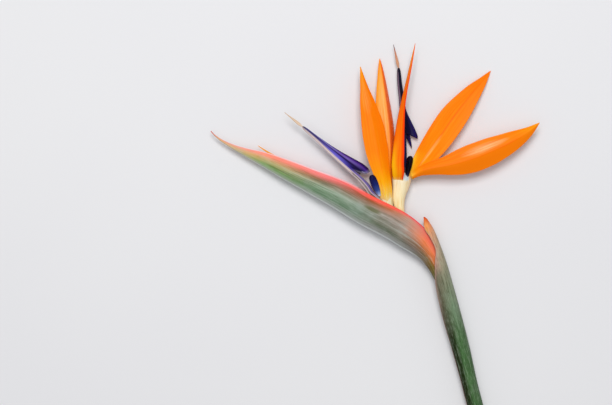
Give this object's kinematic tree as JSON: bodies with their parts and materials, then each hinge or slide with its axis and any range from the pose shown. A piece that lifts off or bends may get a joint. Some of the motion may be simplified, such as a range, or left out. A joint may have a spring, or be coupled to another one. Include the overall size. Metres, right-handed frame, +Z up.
{
  "type": "bird of paradise flower",
  "caption": "Cut bird of paradise flower lying on its side: beak-like spathe, orange sepals, blue arrow-shaped tongues, clasping bract and stem.",
  "frame": {"origin": "middle of the bounding box's bottom face, on the surface the flower lies on", "axes": "+Y along the stem towards the flowers, +X towards the side the outer sepals point to, +Z up away from the surface"},
  "size_m": [0.229, 0.3606, 0.0196],
  "materials": {
    "sepal": "satin",
    "sepal_deep": "satin",
    "flesh": "satin",
    "tongue": "satin",
    "hood": "satin",
    "pollen": "matte",
    "style": "satin",
    "sheath": "matte",
    "spathe": "matte",
    "stem": "satin"
  },
  "bodies": {
    "root": {"peduncle": "stem", "stem_sheath": "sheath", "spathe": "spathe", "rachis": "flesh", "unopened_bud": "flesh", "flower_a_tube": "flesh", "flower_a_sepal_front": "sepal", "flower_a_sepal_back": "sepal_deep", "flower_a_sepal_lower": "sepal", "flower_a_tongue": "tongue", "flower_a_style": "style", "flower_a_stamens": "pollen", "flower_a_hood": "hood", "flower_b_tube": "flesh", "flower_b_sepal_keeled": "sepal", "flower_b_sepal_upper": "sepal", "flower_b_sepal_outer": "sepal", "flower_b_tongue": "tongue", "flower_b_style": "style", "flower_b_stamens": "pollen", "flower_b_hood": "hood"}
  },
  "joints": []
}
